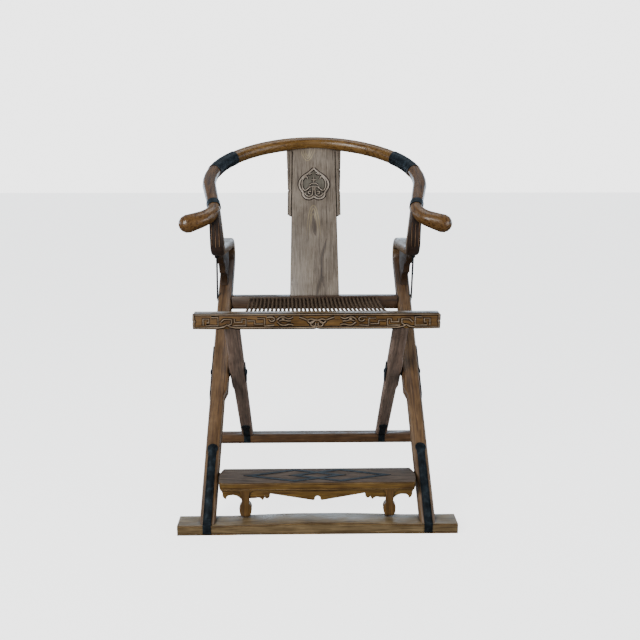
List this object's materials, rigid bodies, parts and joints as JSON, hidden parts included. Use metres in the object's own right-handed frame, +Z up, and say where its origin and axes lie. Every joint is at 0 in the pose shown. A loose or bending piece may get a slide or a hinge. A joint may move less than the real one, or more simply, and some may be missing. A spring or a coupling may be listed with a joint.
{
  "type": "folding horseshoe back armchair",
  "caption": "Folding wooden armchair with crossed legs, horseshoe crest rail, solid back splat, rope seat and hinged footrest, bound with iron straps.",
  "frame": {"origin": "middle of the chair's outline on the floor", "axes": "+Z up, +X to the right as the chair is seen from its front, +Y to the back; metres"},
  "size_m": [0.7608, 0.8165, 1.0136],
  "materials": {
    "elm_wood": "aged satin, golden brown",
    "wrought_iron": "dark, lightly worn",
    "hemp_rope": "dark brown twisted cord"
  },
  "bodies": {
    "back_frame": {"outer_leg_left": "elm_wood", "outer_leg_right": "elm_wood", "front_floor_rail": "elm_wood", "rear_seat_rail": "elm_wood", "crest_centre": "elm_wood", "crest_side_left": "elm_wood", "crest_side_right": "elm_wood", "hand_grips": "elm_wood", "splat": "elm_wood", "splat_flange_left": "elm_wood", "splat_flange_right": "elm_wood", "bend_bracket_left": "elm_wood", "bend_bracket_right": "elm_wood", "brace_rods": "wrought_iron", "crest_wraps": "wrought_iron", "grip_collars": "wrought_iron", "front_leg_strap_left": "wrought_iron", "front_leg_strap_right": "wrought_iron", "pivot_plate_outer_left": "wrought_iron", "pivot_plate_outer_right": "wrought_iron", "pivot_pins": "wrought_iron", "pivot_washers": "wrought_iron", "strap_nails": "wrought_iron"},
    "seat_frame": {"inner_leg_left": "elm_wood", "inner_leg_right": "elm_wood", "rear_floor_rail": "elm_wood", "front_seat_rail": "elm_wood", "pivot_plate_inner_left": "wrought_iron", "pivot_plate_inner_right": "wrought_iron", "rear_leg_strap_left": "wrought_iron", "rear_leg_strap_right": "wrought_iron", "rope_seat": "hemp_rope"},
    "footrest": {"footrest_board": "elm_wood", "footrest_apron": "elm_wood", "footrest_feet": "elm_wood", "footrest_pins": "wrought_iron", "lozenge_plates": "wrought_iron"}
  },
  "joints": [
    {"name": "fold", "type": "hinge", "parent": "back_frame", "child": "seat_frame", "pos_m": [0, -0.024, 0.328], "axis": [-1, 0, 0], "range_deg": [0, 57], "deforming": ["rope_seat"]},
    {"name": "footrest", "type": "hinge", "parent": "back_frame", "child": "footrest", "pos_m": [0, -0.27706, 0.1115], "axis": [-1, 0, 0], "range_deg": [0, 95]}
  ]
}
